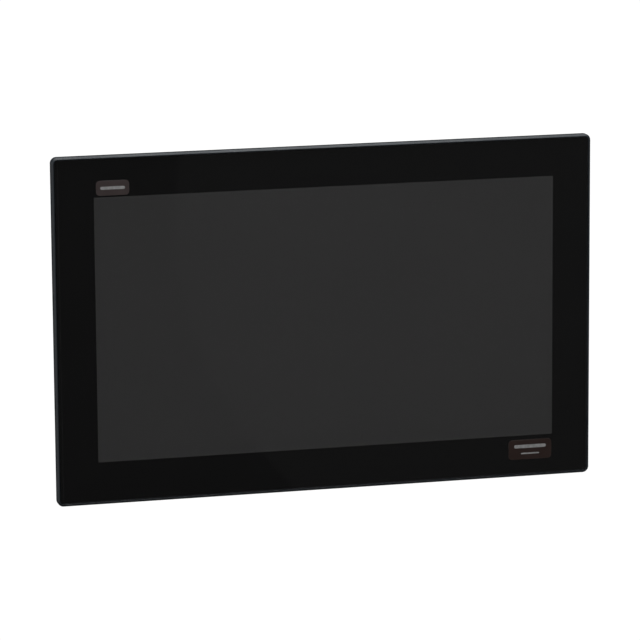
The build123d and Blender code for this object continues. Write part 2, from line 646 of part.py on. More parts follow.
def board_switches():
    """Bodies of the two-way slide switch and of the reset push switch, facing the access door."""
    slide = block((141.5, 147.0), (BOARD_BACK, 30.2), span(DIP_Z, 6.6))
    for z in DIP_SLIDER_Z:
        slide -= block((145.5, 148), (25.2, 28.8), span(z, 1.4))
    reset = block((142.5, 146.5), (BOARD_BACK, 28.2), span(RESET_Z, 4.6))
    reset -= prism_x(Pos(RESET_Y, RESET_Z) * Circle(RESET_R + 0.07), 144.0, 147)
    return group([slide, reset])


def dip_slider(z):
    return block((145.7, 148.1), (25.4, 27.0), span(z, 1.2))


def reset_button():
    return prism_x(Pos(RESET_Y, RESET_Z) * Circle(RESET_R), 145.0, 149.2)


# ---------------------------------------------------------------------------------- rear cover
def vent_slots():
    """Rounded slots: one row through the box's top wall, one row high on its back."""
    middle_y = (TRAY_BACK + BOX_BACK) / 2 - 0.5
    row_z = BOX_Z + BOX_H / 2 - VENT_ROW_DROP
    cutters = []
    for k in range(VENT_COUNT):
        x = (k - (VENT_COUNT - 1) / 2) * VENT_PITCH
        top = Pos(x, middle_y) * SlotOverall(VENT_TOP_L, VENT_W, rotation=90)
        back = Pos(x, row_z) * SlotOverall(VENT_BACK_L, VENT_W, rotation=90)
        cutters.append(prism_z(top, BOX_Z + BOX_H / 2 - SKIN - EPS, BOX_Z + BOX_H / 2 + EPS))
        cutters.append(slab(back, BOX_FLOOR - EPS, BOX_BACK + EPS))
    return cutters


def socket_cutouts():
    """Openings in the box's lower wall, one for each socket."""
    through = (LOWER_WALL - EPS, LOWER_WALL_IN + EPS)
    front = BOARD_BACK - SOCKET_GAP
    margin = 2 * SOCKET_GAP
    cutters = [block(span(POWER_X, 20.8 + margin / 2), (front, 36.2), through)]
    jack_depths = (front, JACK_BACK + SOCKET_GAP)
    cutters += [block(span(x, JACK_W + margin), jack_depths, through) for x in JACK_X]
    usb_depths = (front, USB_BACK + SOCKET_GAP)
    cutters += [block(span(x, USB_W + margin), usb_depths, through) for x in USB_X]
    cutters.append(
        block(span(DEVICE_USB_X, DEVICE_USB_W + margin), (front, DEVICE_USB_BACK + SOCKET_GAP), through)
    )
    shell_opening = RectangleRounded(SERIAL_SHELL_W + 2.5, SERIAL_SHELL_H + 2.4, 2)
    cutters.append(prism_z(Pos(SERIAL_X, SERIAL_Y) * shell_opening, *through))
    cutters += [prism_z(Pos(x, SERIAL_Y) * Circle(1.6), *through) for x in SERIAL_SCREW_X]
    return cutters


def cover_shell():
    """The tray and the raised box as one thin-walled shell."""
    tray = slab(RectangleRounded(BODY_W, BODY_H, BODY_R), -SPIGOT, TRAY_BACK)
    tray = fillet(rear_edges(tray), 2.4)
    box = slab(Pos(0, BOX_Z) * RectangleRounded(BOX_W, BOX_H, BOX_R), TRAY_FLOOR, BOX_BACK)
    box = fillet(rear_edges(box), 2.4)
    tray_inside = RectangleRounded(BODY_W - 2 * BODY_WALL, BODY_H - 2 * BODY_WALL, BODY_R - BODY_WALL)
    box_inside = Pos(0, BOX_Z) * RectangleRounded(BOX_W - 2 * SKIN, BOX_H - 2 * SKIN, BOX_R - SKIN)
    shell = tray + box
    shell -= slab(tray_inside, -SPIGOT - EPS, TRAY_FLOOR)
    return shell - slab(box_inside, TRAY_FLOOR - EPS, BOX_FLOOR)


def tie_lug(x):
    """A bridge on the tray's back that a cable tie passes under."""
    bridge = block(span(x, LUG_W), (TRAY_BACK - 0.5, TRAY_BACK + LUG_DEPTH), LUG_Z)
    bridge = chamfer(rear_edges(bridge), 0.8)
    return bridge - block(span(x, LUG_W - 5), (TRAY_BACK, TRAY_BACK + LUG_DEPTH - 1.8), (-100, -90))


def cover_bosses():
    """Screw columns, bracket and earth bosses, and the door's two hinge blocks, inside the cover."""
    inside = RectangleRounded(BODY_W - 2 * BODY_WALL + 1, BODY_H - 2 * BODY_WALL + 1, BODY_R - BODY_WALL)
    bosses = [slab((Pos(x, z) * Circle(4.4)) & inside, PLATE_BACK, TRAY_FLOOR) for x, z in COVER_SCREWS]
    bosses += [rod(x, z, 4.5, BOX_BACK - BRACKET_DEPTH - 1.2, BOX_FLOOR) for x, z in BRACKET_HOLES]
    bosses.append(rod(EARTH_X, EARTH_Z, 5.0, 12.5, TRAY_FLOOR))
    for z in (DOOR_Z[0] - 2, DOOR_Z[1] + 2):
        bosses.append(block((150.9, RIGHT_WALL - 1), (34.6, BOX_FLOOR + 1), span(z, 4)))
    return bosses


def cover_holes():
    """Screw wells, bracket and earth holes, clip slots, hinge pin holes, vents and socket openings."""
    pin_hole = Pos(DOOR_AXIS_X, DOOR_AXIS_Y) * Circle(PIN_HOLE_R)
    barrel_room = block((150, RIGHT_WALL), (DOOR_AXIS_Y - DOOR_T - 0.3, DOOR_OPEN_Y[1]), DOOR_Z)
    cutters = [barrel_room, prism_z(pin_hole, DOOR_Z[0] - PIN_L - 0.2, DOOR_Z[1] + PIN_L + 0.2)]
    cutters += [*vent_slots(), *socket_cutouts()]
    for x, z in COVER_SCREWS:
        cutters.append(rod(x, z, M3_HEAD_R + 0.45, SEAT_DEPTH, TRAY_BACK + EPS))
        cutters.append(rod(x, z, M3_CLEAR_R, PLATE_BACK - EPS, SEAT_DEPTH + EPS))
    cutters += [rod(x, z, BRACKET_HOLE_R, BOX_BACK - BRACKET_DEPTH, BOX_BACK + EPS) for x, z in BRACKET_HOLES]
    cutters.append(rod(EARTH_X, EARTH_Z, 2.03, 13.5, TRAY_BACK + EPS))
    for x, side in CLIPS:
        wall = sorted((side * (BODY_H / 2 - BODY_WALL - EPS), side * (BODY_H / 2 + EPS)))
        cutters.append(block(span(x, CLIP_W - 2), SLOT_Y, wall))
    label = Pos(LABEL_X, LABEL_Z) * RectangleRounded(LABEL_W + 1.2, LABEL_H + 1.2, 2.6)
    cutters.append(slab(label, BOX_BACK - LABEL_RECESS, BOX_BACK + EPS))
    return cutters


def rear_cover():
    """Die-cast cover with its bosses, lugs and door stops."""
    cover = cover_shell()
    for boss in [*cover_bosses(), *[tie_lug(x) for x in LUG_X]]:
        cover += boss
    cover -= block((RIGHT_WALL - SKIN - EPS, RIGHT_WALL + EPS), DOOR_OPEN_Y, DOOR_Z)
    for z in ((DOOR_Z[0] - 3, DOOR_Z[0] + 1.5), (DOOR_Z[1] - 1.5, DOOR_Z[1] + 3)):
        cover += block((RIGHT_WALL - 3.6, DOOR_AXIS_X - 0.05), (STOP_FRONT, STOP_BACK), z)
    return cover.cut(*[solid for cutter in cover_holes() for solid in cutter.solids()])


def cover_screws():
    """M3 screws through the cover's columns and the chassis plate into the frame's bosses."""
    return group(pan_screw(x, z, SEAT_DEPTH, 12.0) for x, z in COVER_SCREWS)


def earth_screw():
    """M4 earthing screw on its washer."""
    seat = TRAY_BACK + EARTH_WASHER_T
    washer = rod(EARTH_X, EARTH_Z, 4.5, TRAY_BACK, seat)
    washer -= rod(EARTH_X, EARTH_Z, 2.15, TRAY_BACK - EPS, seat + EPS)
    screw = pan_screw(EARTH_X, EARTH_Z, seat, 8.5, radius=2.0, head_r=3.9, head_h=2.6)
    return group([washer, screw])


def rating_label():
    """Blank adhesive label in its recess on the back of the box."""
    floor = BOX_BACK - LABEL_RECESS
    return slab(Pos(LABEL_X, LABEL_Z) * RectangleRounded(LABEL_W, LABEL_H, 2), floor, floor + LABEL_T)


def access_door():
    """Flap over the card socket and switches. It turns on two moulded pins at its rear edge."""
    low, high = DOOR_Z[0] + DOOR_GAP, DOOR_Z[1] - DOOR_GAP
    axis = Pos(DOOR_AXIS_X, DOOR_AXIS_Y)
    free_edge = DOOR_OPEN_Y[0] + DOOR_GAP
    door = block((DOOR_AXIS_X, DOOR_AXIS_X + DOOR_T), (free_edge, DOOR_AXIS_Y), (low, high))
    door += prism_z(axis * Circle(DOOR_T), low, high)
    door += prism_z(axis * Circle(PIN_R), low - PIN_L, high + PIN_L)
    finger_notch = Pos(DOOR_AXIS_X + DOOR_T, free_edge + 2.2, sum(DOOR_Z) / 2) * Sphere(3.2)
    return door - Pos(2.2, 0, 0) * finger_notch


# --------------------------------------------------------------------------------- fixing clips
def clip_body(x, side):
    """Hooked block of one clip: the hook goes through the cover's slot and catches behind its wall."""
    wall_out, wall_in = BODY_H / 2, BODY_H / 2 - BODY_WALL
    hook_back = SLOT_Y[1] - 0.1
    hook_front = hook_back - HOOK_T
    catch_back = hook_back + HOOK_CATCH
    arm = block(span(x, CLIP_W), (CLIP_FRONT, CLIP_BACK), (wall_out + 0.15, wall_out + CLIP_OUT))
    outer_edges = arm.edges().filter_by(Axis.X).sort_by(Axis.Z)[-2:]
    arm = chamfer(outer_edges, 1.0)
    arm += block(span(x, HOOK_W), (hook_front, hook_back), (wall_in - HOOK_T, wall_out + 0.5))
    arm += block(span(x, HOOK_W), (hook_front, catch_back), (wall_in - HOOK_T, wall_in - 0.2))
    arm -= rod(x, wall_out + CLIP_AXIS, SET_SCREW_R + 0.05, CLIP_FRONT - EPS, CLIP_BACK + EPS)
    return arm if side > 0 else mirror(arm, Plane.XY)


def clip_bodies():
    return group(clip_body(x, side) for x, side in CLIPS)


def clip_axis_z(side):
    return side * (BODY_H / 2 + CLIP_AXIS)


def clip_screw(x, side):
    """Set screw with a hexagon socket at the back and a plain nose that turns in the foot."""
    z = clip_axis_z(side)
    thread = chamfer(rear_edges(rod(x, z, SET_SCREW_R, FOOT_BACK + 0.05, SET_SCREW_BACK)), 0.4)
    screw = thread + rod(x, z, SCREW_NOSE_R, FOOT_FRONT + FOOT_FLOOR + 0.1, FOOT_BACK + 0.1)
    hexagon = Pos(x, z) * RegularPolygon(HEX_KEY / 2, 6, major_radius=False)
    return screw - slab(hexagon, SET_SCREW_BACK - HEX_DEPTH, SET_SCREW_BACK + EPS)


def clip_foot(x, side):
    """Round pressure foot that bears on the back of the cabinet panel."""
    z = clip_axis_z(side)
    foot = chamfer(front_edges(rod(x, z, FOOT_R, FOOT_FRONT, FOOT_BACK)), 0.4)
    return foot - rod(x, z, SCREW_NOSE_R + 0.06, FOOT_FRONT + FOOT_FLOOR, FOOT_BACK + EPS)


# -------------------------------------------------------------------------------------- export
SINGLE_PARTS = [
    front_bezel, panel_gasket, cover_glass, border_film, touch_sensor, glass_tape, badge_plates,
    lcd_front_frame, lcd_cell, lcd_mid_frame, optical_sheets, light_guide, led_strip, backlight_tray,
    lcd_driver_board, touch_tail, touch_board, chassis_plate, board_standoffs, chassis_screws,
    main_board, board_chips, board_components, thermal_pad, heat_sink, battery_holder, coin_cell,
    lcd_cable, power_header, power_plug, ethernet_jacks, usb_ports, serial_port,
    memory_socket, memory_card, board_switches, reset_button, rear_cover, cover_screws, earth_screw,
    rating_label, access_door, clip_bodies,
]


def all_parts():
    """Every node's name and shape, one at a time."""
    for make in SINGLE_PARTS:
        yield make.__name__, make()
    for k, x in enumerate(TERMINAL_X, 1):
        yield f"terminal_screw_{k}", terminal_screw(x)
    for k, z in enumerate(DIP_SLIDER_Z, 1):
        yield f"dip_slider_{k}", dip_slider(z)
    for k, (x, side) in enumerate(CLIPS, 1):
        yield f"clip_screw_{k}", clip_screw(x, side)
        yield f"clip_foot_{k}", clip_foot(x, side)


if __name__ == "__main__":
    os.makedirs("parts", exist_ok=True)
    for name, shape in all_parts():
        export_step(shape, f"parts/{name}.step")
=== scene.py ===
import json
import math

import bmesh
import bpy
from mathutils import Matrix, Vector


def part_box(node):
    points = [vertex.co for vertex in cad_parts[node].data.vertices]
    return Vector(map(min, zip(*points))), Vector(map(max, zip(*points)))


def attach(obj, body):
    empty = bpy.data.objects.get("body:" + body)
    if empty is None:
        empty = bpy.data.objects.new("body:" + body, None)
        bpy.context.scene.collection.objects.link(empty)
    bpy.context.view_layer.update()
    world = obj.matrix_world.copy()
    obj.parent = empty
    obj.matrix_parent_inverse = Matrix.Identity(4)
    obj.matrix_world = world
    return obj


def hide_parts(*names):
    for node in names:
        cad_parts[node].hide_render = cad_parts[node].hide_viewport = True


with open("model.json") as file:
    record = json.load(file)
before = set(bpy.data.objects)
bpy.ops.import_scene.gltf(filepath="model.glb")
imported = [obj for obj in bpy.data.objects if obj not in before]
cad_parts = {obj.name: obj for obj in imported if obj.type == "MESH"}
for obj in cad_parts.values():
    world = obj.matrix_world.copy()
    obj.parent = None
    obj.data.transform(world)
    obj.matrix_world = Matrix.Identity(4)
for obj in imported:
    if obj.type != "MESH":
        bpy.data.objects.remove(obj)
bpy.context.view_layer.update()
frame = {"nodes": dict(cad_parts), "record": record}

MM = 0.001
FULL_TURN = 2 * math.pi

# Camera: its direction, distance and aim point in the panel's own frame.
CAMERA_AZIMUTH = math.radians(-14.459)
CAMERA_ELEVATION = math.radians(11.012)
CAMERA_ROLL = math.radians(-0.391)
CAMERA_DISTANCE = 2.9893
CAMERA_AIM = Vector((-3.455, 0.0, -1.612)) * MM
CAMERA_LENS = 229.08
SENSOR_WIDTH = 36.0

# A round reflector that the glass mirrors: its centre and radius as they fall on the panel.
DISC_X = 158.8 * MM
DISC_Z = 66.4 * MM
DISC_R = 264 * MM
DISC_ANGLE = math.atan(DISC_R / CAMERA_DISTANCE)
DISC_LIGHT = 0.027
DISC_BLUR = 2e-5  # half the width of its edge, as a cosine

# Light of the surroundings, as emission strengths.
WHITE_LIGHT = 1.05
DIM_LIGHT = 0.094

# Display: its active area, and how far that sits from the middle of the black print, in millimetres.
ACTIVE_W, ACTIVE_H = 343.8, 193.0
ACTIVE_SHIFT = (1.2, 0.35)

# Layers glued to the front glass or close behind it, which don't shade the display.
LAMINATED = ("border_film", "glass_tape", "touch_sensor", "lcd_front_frame", "badge_plates")

# Set screw of a clip, in millimetres.
THREAD_R = 1.98
THREAD_ROOT_R = 1.62
THREAD_PITCH = 0.7
SCREW_COLUMNS = 24
ROWS_PER_PITCH = 6
KEY_FLAT = 1.0
KEY_DEPTH = 2.5
NOSE_R = 1.2
NOSE_L = 1.75
NOSE_CHAMFER = 0.2

# Bars printed on each plate: height of the middle, width and thickness, as shares of the plate's size.
LEFT_PLATE_BARS = [(0.0, 0.74, 0.20)]
RIGHT_PLATE_BARS = [(0.16, 0.74, 0.17), (-0.20, 0.42, 0.07)]

# Rear label: shares of its width that its printed rows take, and its block of cells.
LABEL_ROWS = (0.45, 0.558, 0.396, 0.504, 0.342)
LABEL_ROW_TOP, LABEL_ROW_PITCH = 0.16, 0.135
LABEL_CELLS = 6
LABEL_CELL = 1.8

# Network jacks, in millimetres. Depths (Y) and heights (Z) count from the jack's lower front corner.
JACK_SKIN = 0.25
CONTACT_COUNT, CONTACT_PITCH, CONTACT_W, CONTACT_T = 8, 1.02, 0.38, 0.3
CONTACT_START, CONTACT_END = (1.7, 1.6), (4.6, 11.5)
LENS_OFFSET, LENS_W = 5.6, 3.0
LENS_Y, LENS_Z = (10.5, 12.2), (-0.12, 0.75)

# USB ports, in millimetres. The two host ports come first along X, and the small device port last.
USB_HOST_SPAN, USB_DEVICE_SPAN = 14.0, 10.0
USB_GAP = 0.6
USB_TONGUE_DEPTH = 4.2
USB_CONTACTS_X = (-3.5, -1.0, 1.0, 3.5)
USB_CONTACT_SIZE = (1.0, 0.14, 8.0)

# Serial port, in millimetres: its axis, the block that takes in its pins, and its moulded face.
SERIAL_Y, SERIAL_REACH = 30.4, 5.0
SERIAL_PINS = (6.6, 2.2, 4.2)
SERIAL_BOTTOM_W, SERIAL_TOP_W, SERIAL_FACE_H = 13.0, 15.4, 7.2
SERIAL_FACE_RISE = 6.3


# ---------------------------------------------------------------------------------- materials
class Look:
    """Node tree of one material, grown from small helpers. Sizes are in millimetres."""

    def __init__(self, name):
        self.material = bpy.data.materials.new(name)
        self.material.use_nodes = True
        self.tree = self.material.node_tree
        self.tree.nodes.clear()
        self.place = self.add("ShaderNodeTexCoord").outputs["Object"]

    def add(self, kind, inputs=None, **settings):
        node = self.tree.nodes.new(kind)
        for key, value in settings.items():
            setattr(node, key, value)
        for key, value in (inputs or {}).items():
            self.feed(node.inputs[key], value)
        return node

    def feed(self, socket, value):
        if isinstance(value, bpy.types.NodeSocket):
            self.tree.links.new(value, socket)
        elif socket.type == "RGBA":
            socket.default_value = (*value, 1.0)
        else:
            socket.default_value = value

    def math(self, operation, a, b=0.0):
        return self.add("ShaderNodeMath", {0: a, 1: b}, operation=operation).outputs[0]

    def ramp(self, value, low, high, to_low=0.0, to_high=1.0):
        limits = {"Value": value, "From Min": low, "From Max": high, "To Min": to_low, "To Max": to_high}
        return self.add("ShaderNodeMapRange", limits, interpolation_type="SMOOTHSTEP").outputs[0]

    def mix(self, amount, a, b):
        return self.add("ShaderNodeMix", {0: amount, 6: a, 7: b}, data_type="RGBA").outputs[2]

    def noise(self, size, detail=2.0, stretch=(1, 1, 1)):
        at = self.add("ShaderNodeVectorMath", {0: self.place, 1: stretch}, operation="MULTIPLY").outputs[0]
        inputs = {"Vector": at, "Scale": 1 / (size * MM), "Detail": detail}
        return self.add("ShaderNodeTexNoise", inputs).outputs[0]

    def dots(self, pitch):
        """Distance from the nearest of many scattered points."""
        inputs = {"Vector": self.place, "Scale": 1 / (pitch * MM)}
        return self.add("ShaderNodeTexVoronoi", inputs).outputs["Distance"]

    def inside(self, low, high):
        """1 within a box of the row frame, given in metres, and 0 outside it."""
        axes = self.add("ShaderNodeSeparateXYZ", {0: self.place}).outputs
        mask = None
        for k in range(3):
            off = self.math("ABSOLUTE", self.math("SUBTRACT", axes[k], (low[k] + high[k]) / 2))
            within = self.math("LESS_THAN", off, (high[k] - low[k]) / 2)
            mask = within if mask is None else self.math("MULTIPLY", mask, within)
        return mask

    def surface(self, colour, rough, metal=0.0, tint=0.1, patch=25.0, grain=0.5, relief=0.01,
                wear=None, rub=0.3, edge=0.2, shine=0.5, spread=0.06, stretch=(1, 1, 1)):
        """Principled shader with uneven colour and roughness, grain, rounded edges and rubbed corners."""
        patches = self.noise(patch, 3.0)
        fine = self.noise(grain, 2.0, stretch)
        shade = self.math("ADD", self.ramp(patches, 0.3, 0.7, 1 - tint, 1 + tint),
                          self.ramp(fine, 0.3, 0.7, -tint / 2, tint / 2))
        base = self.add("ShaderNodeHueSaturation", {"Color": colour, "Value": shade}).outputs[0]
        rounded = self.add("ShaderNodeBevel", {"Radius": edge * MM}, samples=4).outputs[0]
        if wear:
            true_normal = self.add("ShaderNodeNewGeometry").outputs["Normal"]
            facing = self.add("ShaderNodeVectorMath", {0: rounded, 1: true_normal}, operation="DOT_PRODUCT")
            rubbed = self.ramp(facing.outputs["Value"], 0.99, 0.9, 0.0, rub)
            rubbed = self.math("MULTIPLY", rubbed, self.ramp(self.noise(patch / 5, 4.0), 0.4, 0.6))
            base = self.mix(rubbed, base, wear)
        roughness = self.math("ADD", self.ramp(patches, 0.3, 0.7, rough - spread, rough + spread),
                              self.ramp(fine, 0.3, 0.7, -spread / 2, spread / 2))
        bump = self.add("ShaderNodeBump", {"Height": fine, "Distance": relief * MM, "Normal": rounded})
        inputs = {"Base Color": base, "Roughness": roughness, "Metallic": metal,
                  "Specular IOR Level": shine, "Normal": bump.outputs[0]}
        return self.add("ShaderNodeBsdfPrincipled", inputs)

    def done(self, shader):
        self.add("ShaderNodeOutputMaterial", {"Surface": shader.outputs[0]})
        return self.material


def dark_paint(look):
    """Satin powder coat, rubbed a little lighter along the rim."""
    return look.surface((0.0135, 0.0180, 0.0225), 0.30, tint=0.06, patch=40, grain=0.6, relief=0.006,
                        wear=(0.20, 0.21, 0.22), rub=0.06, edge=0.3, shine=0.42)


def cast_cover(look):
    """Powder coat over a casting: orange peel, and pale metal showing at the sharpest edges."""
    peel = look.noise(60, 4.0)
    colour = look.mix(look.ramp(peel, 0.35, 0.65), (0.108, 0.113, 0.120), (0.115, 0.120, 0.127))
    return look.surface(colour, 0.48, tint=0.05, patch=18, grain=0.9, relief=0.03,
                        wear=(0.42, 0.43, 0.44), rub=0.28, edge=0.5)


def cover_glass(look):
    """Glass bonded to what lies behind it: it bends light at its front and lets lamps through."""
    smear = look.noise(45, 3.0)
    fine = look.noise(6, 2.0)
    rough = look.ramp(smear, 0.4, 0.8, 0.0, 0.003)
    bump = look.add("ShaderNodeBump", {"Height": fine, "Distance": 0.00002 * MM})
    tone = look.mix(smear, (0.985, 0.985, 0.985), (0.975, 0.975, 0.975))
    inputs = {"Base Color": tone, "Roughness": rough, "IOR": 1.52, "Transmission Weight": 1.0}
    glass = look.add("ShaderNodeBsdfPrincipled", {**inputs, "Normal": bump.outputs[0]})
    clear = look.add("ShaderNodeBsdfTransparent", {0: (0.965, 0.965, 0.965)})
    path = look.add("ShaderNodeLightPath").outputs
    lamp = look.math("MAXIMUM", path["Is Shadow Ray"], path["Is Diffuse Ray"])
    shape = look.add("ShaderNodeNewGeometry").outputs
    passing = look.math("MAXIMUM", lamp, shape["Backfacing"])
    pane = look.add("ShaderNodeMixShader", {0: passing, 1: glass.outputs[0], 2: clear.outputs[0]})
    facing = look.math("ABSOLUTE", look.add("ShaderNodeSeparateXYZ", {0: shape["True Normal"]}).outputs[1])
    # The glass's edge faces and chamfer have a real ground finish, but their near-black colour is painted
    # shade of the narrow gap between the glass and the rim.
    ground_edge_and_gap_shade = look.surface((0.0025, 0.0025, 0.003), 0.7, tint=0.3, patch=5, grain=0.3, relief=0.01,
                          edge=0.05, shine=0.1)
    on_edge = look.math("LESS_THAN", facing, 0.98)
    return look.add("ShaderNodeMixShader", {0: on_edge, 1: pane.outputs[0], 2: ground_edge_and_gap_shade.outputs[0]})


def black_film(look):
    """Black print on the glass's back, with the slight unevenness of the ink."""
    return look.surface((0.0008, 0.0008, 0.0009), 0.6, tint=0.25, patch=35, grain=0.3, relief=0.002,
                        shine=0.0)


def sensor_glass(look):
    """Bonded sensor: nearly invisible, with the faint diamond grid of its electrodes."""
    grid = look.add("ShaderNodeTexChecker", {"Vector": look.place, "Scale": 1 / (4.4 * MM)}).outputs["Fac"]
    fine = look.noise(12, 2.0)
    weight = look.math("ADD", look.math("MULTIPLY", grid, 0.002), look.ramp(fine, 0.3, 0.7, 0.001, 0.003))
    coat = look.surface((0.10, 0.10, 0.11), 0.35, tint=0.1, patch=30, grain=2.0, relief=0.0005)
    clear = look.add("ShaderNodeBsdfTransparent", {0: (0.985, 0.985, 0.985)})
    return look.add("ShaderNodeMixShader", {0: weight, 1: clear.outputs[0], 2: coat.outputs[0]})


def display_glass(look):
    """Matt polariser over an unlit cell: fine pixel columns, and a slightly paler bare margin."""
    low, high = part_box("border_film")
    centre = (low + high) / 2 + Vector((ACTIVE_SHIFT[0], 0, ACTIVE_SHIFT[1])) * MM
    half = Vector((ACTIVE_W / 2, 20, ACTIVE_H / 2)) * MM
    active = look.inside(centre - half, centre + half)
    columns = look.noise(0.18, 1.0, (1, 1, 0.05))
    cell = look.mix(look.ramp(columns, 0.4, 0.6), (0.0268, 0.0268, 0.0268), (0.0292, 0.0292, 0.0292))
    colour = look.mix(active, (0.034, 0.034, 0.034), cell)
    return look.surface(colour, 0.62, tint=0.015, patch=120, grain=0.2, relief=0.003, shine=0.12, edge=0.05)


def badge_foil(look):
    """Warm grey foil. The plate on the right is darker than the one on the left."""
    right = look.ramp(look.add("ShaderNodeSeparateXYZ", {0: look.place}).outputs[0], -0.01, 0.01)
    colour = look.mix(right, (0.0420, 0.0325, 0.0320), (0.0248, 0.0150, 0.0128))
    return look.surface(colour, 0.42, tint=0.05, patch=8, grain=0.25, relief=0.003,
                        wear=(0.09, 0.086, 0.084), rub=0.8, edge=0.3, shine=0.25)


def gasket_rubber(look):
    return look.surface((0.030, 0.030, 0.031), 0.85, tint=0.2, patch=9, grain=0.35, relief=0.05,
                        edge=0.4, shine=0.3)


def foam_tape(look):
    return look.surface((0.022, 0.022, 0.022), 0.95, tint=0.2, patch=6, grain=0.2, relief=0.03,
                        edge=0.1, shine=0.2)


def sheet_steel(look):
    """Zinc-plated sheet with the grain of its rolling."""
    return look.surface((0.56, 0.57, 0.58), 0.36, 1.0, tint=0.12, patch=14, grain=0.8, relief=0.004,
                        wear=(0.75, 0.76, 0.78), stretch=(0.06, 1, 1), edge=0.1)


def white_plastic(look):
    return look.surface((0.78, 0.78, 0.75), 0.5, tint=0.04, patch=20, grain=0.5, relief=0.01, edge=0.15)


def optical_film(look):
    return look.surface((0.84, 0.84, 0.83), 0.6, tint=0.03, patch=50, grain=0.3, relief=0.003, edge=0.05)


def acrylic(look):
    """Clear light guide with its printed dots."""
    colour = look.mix(look.ramp(look.dots(1.6), 0.22, 0.30), (0.92, 0.93, 0.93), (0.70, 0.77, 0.77))
    return look.surface(colour, 0.12, tint=0.03, patch=60, grain=1.0, relief=0.002, edge=0.1)


def circuit_board(look):
    """Green solder mask over copper tracks, with drilled and tinned vias."""
    tracks = look.noise(5.0, 1.0, (1, 1, 0.25))
    line = look.ramp(look.math("ABSOLUTE", look.math("SUBTRACT", tracks, 0.5)), 0.012, 0.022)
    colour = look.mix(line, (0.050, 0.27, 0.125), (0.022, 0.155, 0.070))
    colour = look.mix(look.ramp(look.dots(3.4), 0.08, 0.11), (0.62, 0.60, 0.52), colour)
    return look.surface(colour, 0.33, tint=0.06, patch=22, grain=0.6, relief=0.012, edge=0.08)


def chip_black(look):
    return look.surface((0.021, 0.021, 0.022), 0.62, tint=0.15, patch=4, grain=0.15, relief=0.01,
                        wear=(0.09, 0.09, 0.09), edge=0.12)


def component_metal(look):
    return look.surface((0.56, 0.56, 0.57), 0.3, 1.0, tint=0.1, patch=5, grain=0.4, relief=0.006,
                        wear=(0.78, 0.78, 0.79), edge=0.15)


def polyimide(look):
    """Amber film over etched copper leads."""
    leads = look.noise(0.7, 1.0, (1, 0.05, 0.05))
    colour = look.mix(look.ramp(leads, 0.45, 0.55), (0.42, 0.18, 0.035), (0.56, 0.30, 0.09))
    return look.surface(colour, 0.35, tint=0.06, patch=10, grain=0.5, relief=0.01, edge=0.05)


def ribbon_grey(look):
    cores = look.noise(1.1, 0.0, (1, 0.03, 0.03))
    colour = look.mix(look.ramp(cores, 0.4, 0.6), (0.44, 0.45, 0.46), (0.60, 0.61, 0.62))
    return look.surface(colour, 0.55, tint=0.05, patch=12, grain=0.6, relief=0.02, edge=0.1)


def thermal_grey(look):
    return look.surface((0.38, 0.40, 0.43), 0.9, tint=0.08, patch=4, grain=0.25, relief=0.03,
                        edge=0.2, shine=0.2)


def heat_sink_aluminium(look):
    """Black-anodised extrusion with drawing lines along its fins."""
    return look.surface((0.075, 0.075, 0.08), 0.42, 0.7, tint=0.12, patch=12, grain=0.5, relief=0.006,
                        wear=(0.5, 0.5, 0.52), stretch=(1, 1, 0.08), edge=0.15)


def cell_steel(look):
    return look.surface((0.70, 0.70, 0.68), 0.25, 1.0, tint=0.08, patch=6, grain=0.3, relief=0.004,
                        wear=(0.82, 0.82, 0.8), edge=0.2)


def terminal_green(look):
    return look.surface((0.030, 0.235, 0.095), 0.44, tint=0.08, patch=7, grain=0.35, relief=0.012,
                        wear=(0.16, 0.42, 0.26), edge=0.2)


def plated_steel(look):
    """Tinned sheet outside, moulded plastic inside the network jacks and on the USB tongues, gilt pins."""
    steel = (0.60, 0.60, 0.58)
    plastic = None
    for low, high in (*jack_cores(), *usb_tongues()):
        core = look.inside(low, high)
        plastic = core if plastic is None else look.math("MAXIMUM", plastic, core)
    pins = look.inside(*serial_core())
    colour = look.mix(plastic, steel, (0.020, 0.020, 0.021))
    colour = look.mix(pins, colour, (0.80, 0.58, 0.24))
    metal = look.math("SUBTRACT", 1.0, plastic)
    return look.surface(colour, 0.34, metal, tint=0.1, patch=6, grain=0.4, relief=0.008,
                        wear=(0.74, 0.74, 0.72), rub=0.2, edge=0.12)


def black_plastic(look):
    return look.surface((0.024, 0.024, 0.025), 0.5, tint=0.1, patch=7, grain=0.3, relief=0.02,
                        wear=(0.10, 0.10, 0.10), edge=0.25)


def switch_white(look):
    return look.surface((0.80, 0.80, 0.76), 0.42, tint=0.05, patch=3, grain=0.2, relief=0.008,
                        wear=(0.62, 0.60, 0.55), edge=0.12)


def screw_steel(look):
    """Zinc-plated steel, a little yellowed, bright where a driver has rubbed it."""
    tone = look.mix(look.ramp(look.noise(2.5, 3.0), 0.35, 0.65), (0.50, 0.50, 0.48), (0.62, 0.61, 0.56))
    return look.surface(tone, 0.3, 1.0, tint=0.1, patch=2.5, grain=0.25, relief=0.006,
                        wear=(0.85, 0.85, 0.83), rub=0.6, edge=0.12)


def label_silver(look):
    """Brushed silver foil."""
    return look.surface((0.56, 0.57, 0.58), 0.4, 0.35, tint=0.05, patch=20, grain=0.5, relief=0.004,
                        stretch=(0.05, 1, 1), edge=0.1)


def clip_zinc(look):
    """Die-cast zinc with a matt, mottled skin."""
    tone = look.mix(look.ramp(look.noise(4, 4.0), 0.35, 0.65), (0.25, 0.25, 0.26), (0.36, 0.36, 0.37))
    return look.surface(tone, 0.50, 0.9, tint=0.1, patch=5, grain=0.5, relief=0.02,
                        wear=(0.72, 0.72, 0.73), rub=0.5, edge=0.3)


def print_grey(look):
    """Pale print, thinner in places."""
    return look.surface((0.24, 0.24, 0.24), 0.5, tint=0.15, patch=2.0, grain=0.3, relief=0.002,
                        edge=0.02, shine=0.2)


def print_black(look):
    return look.surface((0.035, 0.035, 0.036), 0.55, tint=0.25, patch=3.0, grain=0.3, relief=0.002, edge=0.02)


